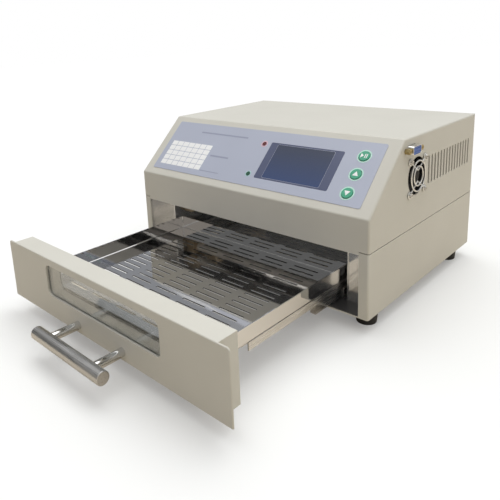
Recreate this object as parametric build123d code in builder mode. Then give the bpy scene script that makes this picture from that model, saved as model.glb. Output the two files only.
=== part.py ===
from build123d import *
import math
import os

# Bench reflow oven with a sliding drawer, drawn with the drawer pulled out.
# Millimetres. Origin: centre of the cabinet's footprint, on the surface that the feet stand on.
# +X to the right seen from the front, +Y to the back, +Z up.

os.makedirs("parts", exist_ok=True)

# ---------------------------------------------------------------- driving dimensions
CABINET_WIDTH = 310.0
CABINET_DEPTH = 238.0
SHELL_HEIGHT = 155.0
FOOT_HEIGHT = 15.0
SHEET = 1.2
BEND_RADIUS = 3.0

SLOPE_START_HEIGHT = 95.0  # front edge of the sloping control face, above the shell's bottom
SLOPE_RUN = 64.0
SEAM_HEIGHT = 64.0
SEAM_GAP = 0.8
OPENING_HALF_WIDTH = 145.0
OPENING_HEIGHT = 61.0

DRAWER_TRAVEL = 176.5
CLOSED_GAP = 0.5
RECESS_DEPTH = 20.0
MOUTH_HALF_WIDTH = 122.0
MOUTH_BEAD_RADIUS = 0.9

FRONT_PLATE_HEIGHT = 60.2
FRONT_BOX_HALF_WIDTH = 144.0
FRONT_BOX_DEPTH = 18.8
FRONT_BOX_BOTTOM = 2.5
WINDOW_WIDTH = 166.0
WINDOW_HEIGHT = 31.0
WINDOW_BOTTOM = 22.0
WINDOW_RADIUS = 6.0
GLASS_THICKNESS = 4.0

HANDLE_HEIGHT = 8.0  # bar's axis above the shell's bottom
HANDLE_STANDOFF = 31.0
HANDLE_BAR_LENGTH = 102.0
HANDLE_BAR_RADIUS = 6.0
HANDLE_POST_SPACING = 66.0
HANDLE_POST_RADIUS = 4.0
HANDLE_SOCKET_DEPTH = 3.0

TRAY_HALF_WIDTH = 118.0
TRAY_LENGTH = 186.0
TRAY_FLOOR_HEIGHT = 21.0
TRAY_RIM_HEIGHT = 36.0
TRAY_SHEET = 1.0
TRAY_NOTCH_LIP = 4.0
TRAY_FOLD_RADIUS = 0.9  # inside the folds
SLOT_COLUMNS = 5
SLOT_ROWS = 20
SLOT_LENGTH = 28.5
SLOT_WIDTH = 2.2
SLOT_COLUMN_PITCH = 38.0
SLOT_ROW_PITCH = 8.55

SLIDE_HALF_SPACING = 113.0
SLIDE_WIDTH = 9.0
SLIDE_WALL = 1.2
SLIDE_CLEARANCE = 0.35
SLIDE_RAIL_HEIGHT = 7.5

CHAMBER_HALF_WIDTH = 129.0
CHAMBER_TOP = 74.0
CHAMBER_LENGTH = 188.0
LINER_SHEET = 0.8
TUBE_COUNT = 4
TUBE_RADIUS = 5.0
TUBE_HEIGHT = 56.0
TUBE_PITCH = 42.0

PANEL_WIDTH = 284.0
PANEL_LENGTH = 71.0
PANEL_START = 9.0  # lower edge of the control panel, along the slope from its front edge
PANEL_THICKNESS = 0.4
DISPLAY_X = 57.9
DISPLAY_S = 43.0
DISPLAY_WIDTH = 89.4
DISPLAY_HEIGHT = 46.0
BUTTON_X = 123.7
BUTTON_S = {"button_down": 22.0, "button_up": 43.0, "button_start": 63.7}
BUTTON_RADIUS = 5.5
BUTTON_HOLE_RADIUS = 5.85
LED_X = 4.2
LED_S = {"led_green": 23.3, "led_red": 62.8}
LED_RADIUS = 2.5

SIDE_FAN_SIZE = 40.0
SIDE_FAN_DEPTH = 10.0
SIDE_FAN_PITCH = 32.0
SIDE_FAN_Y = -28.5
SIDE_FAN_HEIGHT = 115.0
VENT_COUNT = 15
VENT_PITCH = 7.4
VENT_WIDTH = 3.2
VENT_LENGTH = 29.0
VENT_FIRST_Y = -1.5
VENT_HEIGHT = 115.0
SERIAL_Y = -42.0
SERIAL_HEIGHT = 143.5
SERIAL_SCREW_SPACING = 25.0
SERIAL_THREAD_RADIUS = 1.15

REAR_FAN_SIZE = 60.0
REAR_FAN_DEPTH = 15.0
REAR_FAN_PITCH = 50.0
REAR_FAN_X = 60.0
REAR_FAN_HEIGHT = 122.0
INLET_X = -105.0
INLET_HEIGHT = 112.0
INLET_SCREW_SPACING = 40.0
SWITCH_X = -62.0
FUSE_X = -32.0
FOOT_INSET_X = 15.0
FOOT_INSET_Y = 25.0
FOOT_TOP_RADIUS = 11.0
FOOT_BOTTOM_RADIUS = 9.5
FOOT_RECESS_RADIUS = 4.6
FOOT_RECESS_DEPTH = 9.0
FOOT_BOLT_HOLE = 2.1  # radius
WELD_NUT_RADIUS = 4.0
WELD_NUT_HEIGHT = 3.0
M3_HOLE = 1.6  # radius
M4_SHANK = 2.0  # radius

# ---------------------------------------------------------------- derived places
SIDE = CABINET_WIDTH / 2
FRONT = -CABINET_DEPTH / 2
BACK = CABINET_DEPTH / 2
BASE = FOOT_HEIGHT
TOP = BASE + SHELL_HEIGHT
SEAM = BASE + SEAM_HEIGHT
SLOPE_RISE = SHELL_HEIGHT - SLOPE_START_HEIGHT
SLOPE_LENGTH = math.hypot(SLOPE_RUN, SLOPE_RISE)
PLATE_BACK = FRONT - CLOSED_GAP - DRAWER_TRAVEL
PLATE_FRONT = PLATE_BACK - SHEET
BOX_BACK = PLATE_BACK + FRONT_BOX_DEPTH
TRAY_FRONT = BOX_BACK
TRAY_BACK = TRAY_FRONT + TRAY_LENGTH
FRAME_Y = FRONT + RECESS_DEPTH
CHAMBER_FRONT = FRAME_Y + LINER_SHEET
CHAMBER_BACK = FRAME_Y + CHAMBER_LENGTH
FLOOR_TOP = BASE + SHEET + LINER_SHEET
DECK_Z = BASE + CHAMBER_TOP + 15.0
OUT_RIGHT = Plane(origin=(SIDE, 0, 0), x_dir=(0, 1, 0), z_dir=(1, 0, 0))
OUT_REAR = Plane(origin=(0, BACK, 0), x_dir=(-1, 0, 0), z_dir=(0, 1, 0))
SLOPE = Plane(
    origin=(0, FRONT, BASE + SLOPE_START_HEIGHT),
    x_dir=(1, 0, 0),
    z_dir=(0, -SLOPE_RISE, SLOPE_RUN),
)


def save(piece, label):
    """Labels a finished piece and writes it as its own file."""
    piece.part.label = label
    export_step(piece.part, f"parts/{label}.step")


def add_block(low, high, mode=Mode.ADD):
    """A box between two corners, joined to or cut from the part being built."""
    size = [h - l for l, h in zip(low, high)]
    middle = [(h + l) / 2 for l, h in zip(low, high)]
    with Locations(tuple(middle)):
        Box(*size, mode=mode)


def pan_screws(plane, spots, shank_radius, shank_length, head_radius, head_height):
    """Pan-head screws with a cross recess. Heads stand out of the plane, shanks go behind it."""
    with BuildPart() as screws:
        with BuildSketch(plane):
            with Locations(*spots):
                Circle(head_radius)
        extrude(amount=head_height, taper=12)
        with BuildSketch(plane):
            with Locations(*spots):
                Circle(shank_radius)
        extrude(amount=-shank_length)
        with BuildSketch(plane.offset(head_height)):
            with Locations(*spots):
                Rectangle(head_radius * 1.1, head_radius * 0.26)
                Rectangle(head_radius * 0.26, head_radius * 1.1)
        extrude(amount=-head_height * 0.55, mode=Mode.SUBTRACT)
    return screws


def square_spots(pitch):
    """The four corners of a square hole pattern about a plane's origin."""
    half = pitch / 2
    return [(-half, -half), (half, -half), (-half, half), (half, half)]


def fan_frame(plane, size, depth, pitch):
    """A square axial fan's frame. The plane is its outer face and points out of the cabinet."""
    bore = size / 2 - 1.2
    hub = size * 0.25
    with BuildPart() as frame:
        with BuildSketch(plane):
            RectangleRounded(size, size, size * 0.07)
            Circle(bore, mode=Mode.SUBTRACT)
            with Locations(*square_spots(pitch)):
                Circle(M3_HOLE, mode=Mode.SUBTRACT)
        extrude(amount=-depth)
        with BuildSketch(plane.offset(-depth)):
            Circle(hub)
            Rectangle(size - 1.5, 2.4)
            Rectangle(2.4, size - 1.5)
        extrude(amount=1.5)
        with BuildSketch(plane.offset(-depth)):
            Circle(1.3)
        extrude(amount=depth * 0.55)
    return frame


def fan_rotor(plane, size, depth):
    """A fan's hub and its seven pitched blades, turning on the frame's pin."""
    hub = size * 0.25
    tip = size / 2 - 2.4
    hub_depth = depth - 3.5
    blade_chord = size * 0.2
    blade_span = tip - hub + 1.0
    with BuildPart() as rotor:
        with BuildSketch(plane.offset(-1.0)):
            Circle(hub)
        extrude(amount=-hub_depth)
        for index in range(7):
            turn = Location((0, 0, -1.0 - hub_depth / 2), (0, 0, 360 * index / 7))
            pitched = Location((hub - 1.0 + blade_span / 2, 0, 0), (35, 0, 0))
            with BuildSketch(Plane(plane.location * turn * pitched)):
                Rectangle(blade_span, blade_chord)
            extrude(amount=0.5, both=True)
        with BuildSketch(plane.offset(-1.0 - hub_depth)):
            Circle(1.36)
        extrude(amount=hub_depth * 0.72, mode=Mode.SUBTRACT)
    return rotor


def fan_guard(plane, pitch, radii, wire_radius):
    """A wire finger guard: a bent wire above and below the middle, an eye at each screw, and rings."""
    eye_radius = 2.8
    corner = pitch / 2
    bend = pitch / 6
    run = Vector(corner, corner - bend)
    direction = math.degrees(math.atan2(run.Y, run.X))
    middle = Vector(0, bend) + run * 0.5 * (1 - eye_radius / run.length)
    wire_length = run.length - eye_radius
    ring_height = wire_radius * 1.9
    bend_radius = wire_radius * 1.08
    with BuildPart(plane) as guard:
        for side, radius in ((1, wire_radius), (-1, wire_radius * 0.97)):
            for up in (1, -1):
                angle = direction * side * up
                with Locations(Location((side * middle.X, up * middle.Y, wire_radius), (0, 0, angle))):
                    Cylinder(radius, wire_length, rotation=(0, 90, 0))
        with Locations((0, bend, bend_radius), (0, -bend, bend_radius)):
            Sphere(bend_radius)
        for radius in radii:
            with Locations((0, 0, ring_height)):
                Torus(radius, wire_radius * 1.02)
        with Locations(*[(x, y, wire_radius) for x, y in square_spots(pitch)]):
            Torus(eye_radius, wire_radius * 0.99)
    return guard


def slot_rows(first_y, rows):
    """The centres of rows of slots, from the back row to the front one."""
    middle = (SLOT_COLUMNS - 1) / 2
    columns = [(column - middle) * SLOT_COLUMN_PITCH for column in range(SLOT_COLUMNS)]
    return [(x, first_y - row * SLOT_ROW_PITCH) for row in range(rows) for x in columns]


# ---------------------------------------------------------------- cabinet shell
with BuildPart() as top_cover:
    with BuildSketch(Plane.YZ):
        with BuildLine():
            Polyline(
                (FRONT, BASE),
                (FRONT, BASE + SLOPE_START_HEIGHT),
                (FRONT + SLOPE_RUN, TOP),
                (BACK, TOP),
                (BACK, BASE),
                close=True,
            )
        make_face()
    extrude(amount=SIDE, both=True)
    bends = top_cover.edges().filter_by(Axis.X).group_by(Axis.Z)[-1].sort_by(Axis.Y)[0:1]
    bends += top_cover.edges().filter_by(Axis.X).sort_by(Axis.Z)[2:3]
    fillet(bends, BEND_RADIUS)
    rims = [
        edge
        for edge in top_cover.edges()
        if abs(abs(edge.center().X) - SIDE) < 0.01
        and edge.center().Z > BASE + 1
        and edge.center().Y < BACK - 1
    ]
    fillet(rims, BEND_RADIUS - 1)
    with BuildSketch(Plane.YZ):
        with BuildLine():
            Polyline(
                (FRONT, BASE - SHEET),
                (FRONT, BASE + SLOPE_START_HEIGHT),
                (FRONT + SLOPE_RUN, TOP),
                (BACK + SHEET, TOP),
                (BACK + SHEET, BASE - SHEET),
                close=True,
            )
        make_face()
        offset(amount=-SHEET, kind=Kind.INTERSECTION, mode=Mode.REPLACE)
    extrude(amount=SIDE - SHEET, both=True, mode=Mode.SUBTRACT)
    add_block((-SIDE - 1, FRONT - 1, BASE - 2), (SIDE + 1, BACK + 1, BASE + OPENING_HEIGHT), Mode.SUBTRACT)
    add_block((-SIDE - 1, FRONT + SHEET + 4, BASE), (SIDE + 1, BACK + 1, SEAM), Mode.SUBTRACT)
    for side in (-1, 1):
        near, far = sorted((side * OPENING_HALF_WIDTH, side * (SIDE + 1)))
        add_block((near, FRONT - 1, BASE), (far, FRONT + SHEET + 5, SEAM), Mode.SUBTRACT)
    add_block((-SIDE - 1, BACK - SHEET, BASE), (SIDE + 1, BACK + 1, TOP + 1), Mode.SUBTRACT)
    # Control face: display window, button holes and lamp holes.
    with BuildSketch(SLOPE):
        with Locations((DISPLAY_X, DISPLAY_S)):
            RectangleRounded(DISPLAY_WIDTH, DISPLAY_HEIGHT, 1.5)
        with Locations(*[(BUTTON_X, s) for s in BUTTON_S.values()]):
            Circle(BUTTON_HOLE_RADIUS)
        with Locations(*[(LED_X, s) for s in LED_S.values()]):
            Circle(LED_RADIUS)
    extrude(amount=3 * SHEET, both=True, mode=Mode.SUBTRACT)
    # Right side: fan opening, guard screws, serial socket and vent slots.
    with BuildSketch(OUT_RIGHT.offset(-4)):
        with Locations((SIDE_FAN_Y, BASE + SIDE_FAN_HEIGHT)):
            Circle(SIDE_FAN_SIZE / 2 - 1.2)
            with Locations(*square_spots(SIDE_FAN_PITCH)):
                Circle(M3_HOLE)
        with Locations((SERIAL_Y, BASE + SERIAL_HEIGHT)):
            RectangleRounded(17.4, 8.8, 2.0)
            with GridLocations(SERIAL_SCREW_SPACING, 1, 2, 1):
                Circle(M3_HOLE)
        for index in range(VENT_COUNT):
            with Locations((VENT_FIRST_Y + index * VENT_PITCH, BASE + VENT_HEIGHT)):
                SlotOverall(VENT_LENGTH, VENT_WIDTH, rotation=90)
    extrude(amount=6, mode=Mode.SUBTRACT)
save(top_cover, "top_cover")

FOOT_X = SIDE - FOOT_INSET_X
FOOT_Y = BACK - FOOT_INSET_Y
FEET = {
    "foot_front_left": (-FOOT_X, -FOOT_Y),
    "foot_front_right": (FOOT_X, -FOOT_Y),
    "foot_rear_left": (-FOOT_X, FOOT_Y),
    "foot_rear_right": (FOOT_X, FOOT_Y),
}
with BuildPart() as base_pan:
    add_block((-SIDE, FRONT, BASE), (SIDE, BACK - SHEET, SEAM - SEAM_GAP))
    corners = base_pan.edges().filter_by(Axis.Z).group_by(Axis.Y)[0]
    fillet(corners, BEND_RADIUS - 1)
    add_block((-SIDE + SHEET, FRONT + SHEET, BASE + SHEET), (SIDE - SHEET, BACK, SEAM), Mode.SUBTRACT)
    add_block(
        (-OPENING_HALF_WIDTH, FRONT - 1, BASE + SHEET),
        (OPENING_HALF_WIDTH, FRONT + SHEET + 1, SEAM),
        Mode.SUBTRACT,
    )
    with BuildSketch(Plane.XY.offset(BASE + SHEET)):
        with Locations(*FEET.values()):
            RegularPolygon(WELD_NUT_RADIUS, 6)
    extrude(amount=WELD_NUT_HEIGHT)
    with BuildSketch(Plane.XY.offset(BASE)):
        with Locations(*FEET.values()):
            Circle(FOOT_BOLT_HOLE)
    extrude(amount=SHEET + WELD_NUT_HEIGHT, mode=Mode.SUBTRACT)
save(base_pan, "base_pan")

REAR_WALL_SCREWS = [(x, z) for x in (-148.0, 148.0) for z in (BASE + 20, BASE + 80, BASE + 140)]
with BuildPart() as rear_panel:
    with BuildSketch(OUT_REAR.offset(-SHEET)):
        with Locations((0, BASE + SHELL_HEIGHT / 2)):
            Rectangle(CABINET_WIDTH - 0.4, SHELL_HEIGHT - 0.4)
        with Locations((-REAR_FAN_X, BASE + REAR_FAN_HEIGHT)):
            Circle(REAR_FAN_SIZE / 2 - 1.2, mode=Mode.SUBTRACT)
            with Locations(*square_spots(REAR_FAN_PITCH)):
                Circle(M3_HOLE, mode=Mode.SUBTRACT)
        with Locations((-INLET_X, BASE + INLET_HEIGHT)):
            RectangleRounded(28.0, 20.6, 2.0, mode=Mode.SUBTRACT)
            with GridLocations(INLET_SCREW_SPACING, 1, 2, 1):
                Circle(M3_HOLE, mode=Mode.SUBTRACT)
        with Locations((-SWITCH_X, BASE + INLET_HEIGHT)):
            Rectangle(13.0, 19.2, mode=Mode.SUBTRACT)
        with Locations((-FUSE_X, BASE + INLET_HEIGHT)):
            Circle(6.2, mode=Mode.SUBTRACT)
        with Locations((0, BASE + 35)):
            with GridLocations(8.0, 1, 14, 1):
                SlotOverall(26.0, 3.0, rotation=90, mode=Mode.SUBTRACT)
        with Locations(*REAR_WALL_SCREWS):
            Circle(M3_HOLE, mode=Mode.SUBTRACT)
    extrude(amount=SHEET)
save(rear_panel, "rear_panel")

M3_SCREW = {"shank_radius": 1.6, "shank_length": 6.0, "head_radius": 2.9, "head_height": 1.9}
M4_SCREW = {"shank_radius": M4_SHANK, "head_radius": 3.9, "head_height": 2.6}
cover_screws = pan_screws(OUT_REAR, REAR_WALL_SCREWS, **M3_SCREW)
save(cover_screws, "cover_screws")

# ---------------------------------------------------------------- feet
for foot_name, foot_spot in FEET.items():
    with BuildPart() as foot:
        with BuildSketch(Plane.XY.offset(BASE)):
            with Locations(foot_spot):
                Circle(FOOT_TOP_RADIUS)
        with BuildSketch(Plane.XY):
            with Locations(foot_spot):
                Circle(FOOT_BOTTOM_RADIUS)
        loft()
        fillet(foot.edges().group_by(Axis.Z)[0], 0.8)
        with BuildSketch(Plane.XY):
            with Locations(foot_spot):
                Circle(FOOT_RECESS_RADIUS)
        extrude(amount=FOOT_RECESS_DEPTH, mode=Mode.SUBTRACT)
        with BuildSketch(Plane.XY):
            with Locations(foot_spot):
                Circle(FOOT_BOLT_HOLE)
        extrude(amount=BASE, mode=Mode.SUBTRACT)
    save(foot, foot_name)

foot_screws = pan_screws(
    Plane(origin=(0, 0, FOOT_RECESS_DEPTH), x_dir=(1, 0, 0), z_dir=(0, 0, -1)),
    [(x, -y) for x, y in FEET.values()],
    shank_length=FOOT_HEIGHT - FOOT_RECESS_DEPTH + WELD_NUT_HEIGHT,
    **M4_SCREW,
)
save(foot_screws, "foot_screws")

# ---------------------------------------------------------------- heating chamber
with BuildPart() as chamber_floor:
    add_block(
        (-OPENING_HALF_WIDTH, FRONT + 0.4, BASE + SHEET),
        (OPENING_HALF_WIDTH, CHAMBER_BACK, FLOOR_TOP),
    )
    with BuildSketch(Plane.XY.offset(BASE + SHEET)):
        with Locations(*[spot for spot in FEET.values() if spot[1] < 0]):
            Circle(WELD_NUT_RADIUS + 0.6)
    extrude(amount=LINER_SHEET, mode=Mode.SUBTRACT)
save(chamber_floor, "chamber_floor")

BASE_PLATE_HALF_WIDTH = SLIDE_HALF_SPACING - SLIDE_WIDTH / 2 - 1.0
with BuildPart() as chamber_base_plate:
    add_block(
        (-BASE_PLATE_HALF_WIDTH, CHAMBER_FRONT + 1, FLOOR_TOP),
        (BASE_PLATE_HALF_WIDTH, CHAMBER_BACK - LINER_SHEET, FLOOR_TOP + LINER_SHEET),
    )
    with BuildSketch(Plane.XY.offset(FLOOR_TOP)):
        with Locations(*slot_rows(CHAMBER_BACK - 12, SLOT_ROWS)):
            Rectangle(SLOT_LENGTH, SLOT_WIDTH)
    extrude(amount=LINER_SHEET, mode=Mode.SUBTRACT)
save(chamber_base_plate, "chamber_base_plate")

FRAME_HALF_WIDTH = SIDE - SHEET - 0.4
with BuildPart() as chamber_frame:
    add_block((-FRAME_HALF_WIDTH, FRAME_Y, FLOOR_TOP), (FRAME_HALF_WIDTH, CHAMBER_FRONT, BASE + 92))
    add_block(
        (-MOUTH_HALF_WIDTH, FRAME_Y - 1, FLOOR_TOP - 1),
        (MOUTH_HALF_WIDTH, CHAMBER_FRONT + 1, BASE + OPENING_HEIGHT),
        Mode.SUBTRACT,
    )
    for side in (-1, 1):
        near, far = sorted((side * (OPENING_HALF_WIDTH + 0.1), side * (OPENING_HALF_WIDTH + 0.9)))
        add_block((near, FRONT + SHEET, FLOOR_TOP), (far, FRAME_Y, BASE + OPENING_HEIGHT + 1.0))
        lip_near, lip_far = sorted((side * MOUTH_HALF_WIDTH, side * (MOUTH_HALF_WIDTH + LINER_SHEET)))
        add_block((lip_near, CHAMBER_FRONT, FLOOR_TOP), (lip_far, CHAMBER_FRONT + 8, BASE + OPENING_HEIGHT))
    add_block(
        (-OPENING_HALF_WIDTH - 0.9, FRONT + SHEET, BASE + OPENING_HEIGHT + 0.2),
        (OPENING_HALF_WIDTH + 0.9, FRAME_Y, BASE + OPENING_HEIGHT + 1.0),
    )
    # A thin bead stiffens each upright edge of the mouth.
    for side in (-1, 1):
        with BuildSketch(Plane.XY.offset(FLOOR_TOP)):
            with Locations((side * (MOUTH_HALF_WIDTH + MOUTH_BEAD_RADIUS), FRAME_Y)):
                Circle(MOUTH_BEAD_RADIUS)
        extrude(amount=OPENING_HEIGHT + BASE - FLOOR_TOP - 0.4)
save(chamber_frame, "chamber_frame")

PROBE_SPOTS = [(-45.0, CHAMBER_FRONT + 93), (45.0, CHAMBER_FRONT + 93)]
PROBE_RADIUS = 1.5
PROBE_LOW = BASE + 46.0


def cut_probe_holes(low, high):
    """Cuts the temperature probes' holes through the piece being built."""
    with Locations(*[(x, y, (low + high) / 2) for x, y in PROBE_SPOTS]):
        Cylinder(PROBE_RADIUS + 0.4, high - low + 0.2, mode=Mode.SUBTRACT)


with BuildPart() as chamber_liner:
    add_block(
        (-CHAMBER_HALF_WIDTH, CHAMBER_FRONT, FLOOR_TOP),
        (CHAMBER_HALF_WIDTH, CHAMBER_BACK, BASE + CHAMBER_TOP),
    )
    add_block(
        (-CHAMBER_HALF_WIDTH + LINER_SHEET, CHAMBER_FRONT - 1, FLOOR_TOP - 1),
        (CHAMBER_HALF_WIDTH - LINER_SHEET, CHAMBER_BACK - LINER_SHEET, BASE + CHAMBER_TOP - LINER_SHEET),
        Mode.SUBTRACT,
    )
    cut_probe_holes(BASE + CHAMBER_TOP - LINER_SHEET, BASE + CHAMBER_TOP)
save(chamber_liner, "chamber_liner")

REFLECTOR_LOW = BASE + CHAMBER_TOP - 9.0
REFLECTOR_HALF_WIDTH = 118
REFLECTOR_RISE = 6.5
with BuildPart() as reflector:
    with BuildSketch(Plane.XZ.offset(-CHAMBER_FRONT - 6)):
        with BuildLine():
            ThreePointArc(
                (-REFLECTOR_HALF_WIDTH, REFLECTOR_LOW),
                (0, REFLECTOR_LOW + REFLECTOR_RISE),
                (REFLECTOR_HALF_WIDTH, REFLECTOR_LOW),
            )
            Line((REFLECTOR_HALF_WIDTH, REFLECTOR_LOW), (REFLECTOR_HALF_WIDTH, REFLECTOR_LOW - LINER_SHEET))
            ThreePointArc(
                (REFLECTOR_HALF_WIDTH, REFLECTOR_LOW - LINER_SHEET),
                (0, REFLECTOR_LOW + REFLECTOR_RISE - LINER_SHEET),
                (-REFLECTOR_HALF_WIDTH, REFLECTOR_LOW - LINER_SHEET),
            )
            Line((-REFLECTOR_HALF_WIDTH, REFLECTOR_LOW - LINER_SHEET), (-REFLECTOR_HALF_WIDTH, REFLECTOR_LOW))
        make_face()
    extrude(amount=-(CHAMBER_LENGTH - 16))
    for x in (-90, 90):
        for y in (CHAMBER_FRONT + 30, CHAMBER_BACK - 34):
            lift = REFLECTOR_LOW + REFLECTOR_RISE * (1 - (x / REFLECTOR_HALF_WIDTH) ** 2) - 0.6
            add_block((x - 4, y - 4, lift), (x + 4, y + 4, BASE + CHAMBER_TOP - LINER_SHEET))
    cut_probe_holes(REFLECTOR_LOW, BASE + CHAMBER_TOP - LINER_SHEET)
save(reflector, "reflector")

with BuildPart() as insulation_pad:
    add_block(
        (-CHAMBER_HALF_WIDTH, CHAMBER_FRONT, BASE + CHAMBER_TOP),
        (CHAMBER_HALF_WIDTH, CHAMBER_BACK, DECK_Z - SHEET),
    )
    cut_probe_holes(BASE + CHAMBER_TOP, DECK_Z - SHEET)
save(insulation_pad, "insulation_pad")

TUBE_Y = [CHAMBER_FRONT + 30 + TUBE_PITCH * index for index in range(TUBE_COUNT)]
TUBE_Z = BASE + TUBE_HEIGHT
TUBE_HALF_LENGTH = 121.0
for index, tube_y in enumerate(TUBE_Y):
    with BuildPart() as heater_tube:
        with BuildSketch(Plane.YZ):
            with Locations((tube_y, TUBE_Z)):
                Circle(TUBE_RADIUS)
        extrude(amount=TUBE_HALF_LENGTH, both=True)
        fillet(heater_tube.edges(), 1.2)
    save(heater_tube, f"heater_tube_{index + 1}")

BLOCK_INNER = 115.0
with BuildPart() as ceramic_blocks:
    for tube_y in TUBE_Y:
        for side in (-1, 1):
            near, far = sorted((side * BLOCK_INNER, side * (CHAMBER_HALF_WIDTH - LINER_SHEET)))
            add_block((near, tube_y - 10, TUBE_Z - 18), (far, tube_y + 10, REFLECTOR_LOW - 2))
            socket_near, socket_far = sorted((side * (BLOCK_INNER - 1), side * TUBE_HALF_LENGTH))
            with BuildSketch(Plane.YZ.offset(socket_near)):
                with Locations((tube_y, TUBE_Z)):
                    Circle(TUBE_RADIUS)
            extrude(amount=socket_far - socket_near, mode=Mode.SUBTRACT)
save(ceramic_blocks, "ceramic_blocks")

with BuildPart() as thermocouples:
    with BuildSketch(Plane.XY.offset(PROBE_LOW)):
        with Locations(*PROBE_SPOTS):
            Circle(PROBE_RADIUS)
    extrude(amount=DECK_Z + 1.6 - PROBE_LOW)
    fillet(thermocouples.edges().group_by(Axis.Z)[0], 1.2)
    with BuildSketch(Plane.XY.offset(DECK_Z)):
        with Locations(*PROBE_SPOTS):
            RegularPolygon(4.0, 6)
    extrude(amount=3.4)
save(thermocouples, "thermocouples")

# ---------------------------------------------------------------- electronics
with BuildPart() as inner_deck:
    add_block((-SIDE + SHEET, FRAME_Y + 6, DECK_Z - SHEET), (SIDE - SHEET, BACK - SHEET, DECK_Z))
    for side in (-1, 1):
        near, far = sorted((side * (SIDE - SHEET), side * (SIDE - 2 * SHEET)))
        add_block((near, FRAME_Y + 6, DECK_Z - 10), (far, BACK - SHEET, DECK_Z))
    cut_probe_holes(DECK_Z - SHEET, DECK_Z)
save(inner_deck, "inner_deck")

BOARD_X = -70.0
BOARD_Y = 40.0
with BuildPart() as power_board:
    add_block((BOARD_X - 45, BOARD_Y - 35, DECK_Z + 8), (BOARD_X + 45, BOARD_Y + 35, DECK_Z + 9.6))
    with BuildSketch(Plane.XY.offset(DECK_Z)):
        with Locations((BOARD_X, BOARD_Y)):
            with GridLocations(80, 60, 2, 2):
                Circle(3.0)
    extrude(amount=8)
    with BuildSketch(Plane.XY.offset(DECK_Z + 9.6)):
        with Locations((BOARD_X - 30, BOARD_Y + 18), (BOARD_X - 30, BOARD_Y - 2)):
            Circle(6.5)
    extrude(amount=22)
    add_block((BOARD_X - 15, BOARD_Y - 30, DECK_Z + 9.6), (BOARD_X + 5, BOARD_Y - 14, DECK_Z + 25))
    add_block((BOARD_X - 15, BOARD_Y + 2, DECK_Z + 9.6), (BOARD_X + 5, BOARD_Y + 16, DECK_Z + 25))
save(power_board, "power_board")

with BuildPart() as heat_sink:
    sink_x = BOARD_X + 14
    add_block((sink_x, BOARD_Y - 30, DECK_Z + 9.6), (sink_x + 3, BOARD_Y + 30, DECK_Z + 42))
    for index in range(7):
        fin_y = BOARD_Y - 30 + index * 9.6
        add_block((sink_x + 3, fin_y, DECK_Z + 9.6), (sink_x + 22, fin_y + 2.2, DECK_Z + 42))
save(heat_sink, "heat_sink")

with BuildPart() as transformer:
    add_block((20, 30, DECK_Z), (66, 68, DECK_Z + 36))
    add_block((26, 22, DECK_Z + 8), (60, 76, DECK_Z + 28))
    add_block((8, 40, DECK_Z), (78, 58, DECK_Z + 2))
save(transformer, "transformer")

DISPLAY_PLANE = SLOPE.offset(-SHEET)
with BuildPart() as lcd_module:
    with BuildSketch(DISPLAY_PLANE):
        with Locations((DISPLAY_X, DISPLAY_S)):
            Rectangle(DISPLAY_WIDTH + 8, DISPLAY_HEIGHT + 12)
    extrude(amount=-7.0)
    with BuildSketch(DISPLAY_PLANE):
        with Locations((DISPLAY_X, DISPLAY_S)):
            Rectangle(DISPLAY_WIDTH - 12, DISPLAY_HEIGHT - 4)
    extrude(amount=-1.0, mode=Mode.SUBTRACT)
save(lcd_module, "lcd_module")

with BuildPart() as lcd_lens:
    with BuildSketch(DISPLAY_PLANE):
        with Locations((DISPLAY_X, DISPLAY_S)):
            RectangleRounded(DISPLAY_WIDTH - 0.3, DISPLAY_HEIGHT - 0.3, 1.4)
    extrude(amount=SHEET + PANEL_THICKNESS)
save(lcd_lens, "lcd_lens")

with BuildPart() as control_board:
    with BuildSketch(SLOPE.offset(-14)):
        with Locations((46, DISPLAY_S)):
            Rectangle(186, 62)
    extrude(amount=-1.6)
    with BuildSketch(SLOPE.offset(-14)):
        with Locations(*[(BUTTON_X, s) for s in BUTTON_S.values()]):
            Rectangle(6, 6)
    extrude(amount=7.0)
    with BuildSketch(SLOPE.offset(-14)):
        with Locations(*[(LED_X, s) for s in LED_S.values()]):
            Rectangle(4, 4)
    extrude(amount=6.0)
    with BuildSketch(SLOPE.offset(-14)):
        with Locations((DISPLAY_X, DISPLAY_S)):
            with GridLocations(DISPLAY_WIDTH + 2, DISPLAY_HEIGHT + 6, 2, 2):
                Circle(2.0)
    extrude(amount=14 - SHEET - 7.0)
    with BuildSketch(SLOPE.offset(-15.6)):
        with Locations((10, 40)):
            Rectangle(18, 18)
        with Locations((60, 30)):
            Rectangle(12, 8)
    extrude(amount=-2.0)
save(control_board, "control_board")

with BuildPart() as control_panel:
    with BuildSketch(SLOPE):
        with Locations((0, PANEL_START + PANEL_LENGTH / 2)):
            RectangleRounded(PANEL_WIDTH, PANEL_LENGTH, 2.0)
        with Locations((DISPLAY_X, DISPLAY_S)):
            RectangleRounded(DISPLAY_WIDTH, DISPLAY_HEIGHT, 1.5, mode=Mode.SUBTRACT)
        with Locations(*[(BUTTON_X, s) for s in BUTTON_S.values()]):
            Circle(BUTTON_HOLE_RADIUS, mode=Mode.SUBTRACT)
        with Locations(*[(LED_X, s) for s in LED_S.values()]):
            Circle(LED_RADIUS, mode=Mode.SUBTRACT)
    extrude(amount=PANEL_THICKNESS)
save(control_panel, "control_panel")

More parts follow.
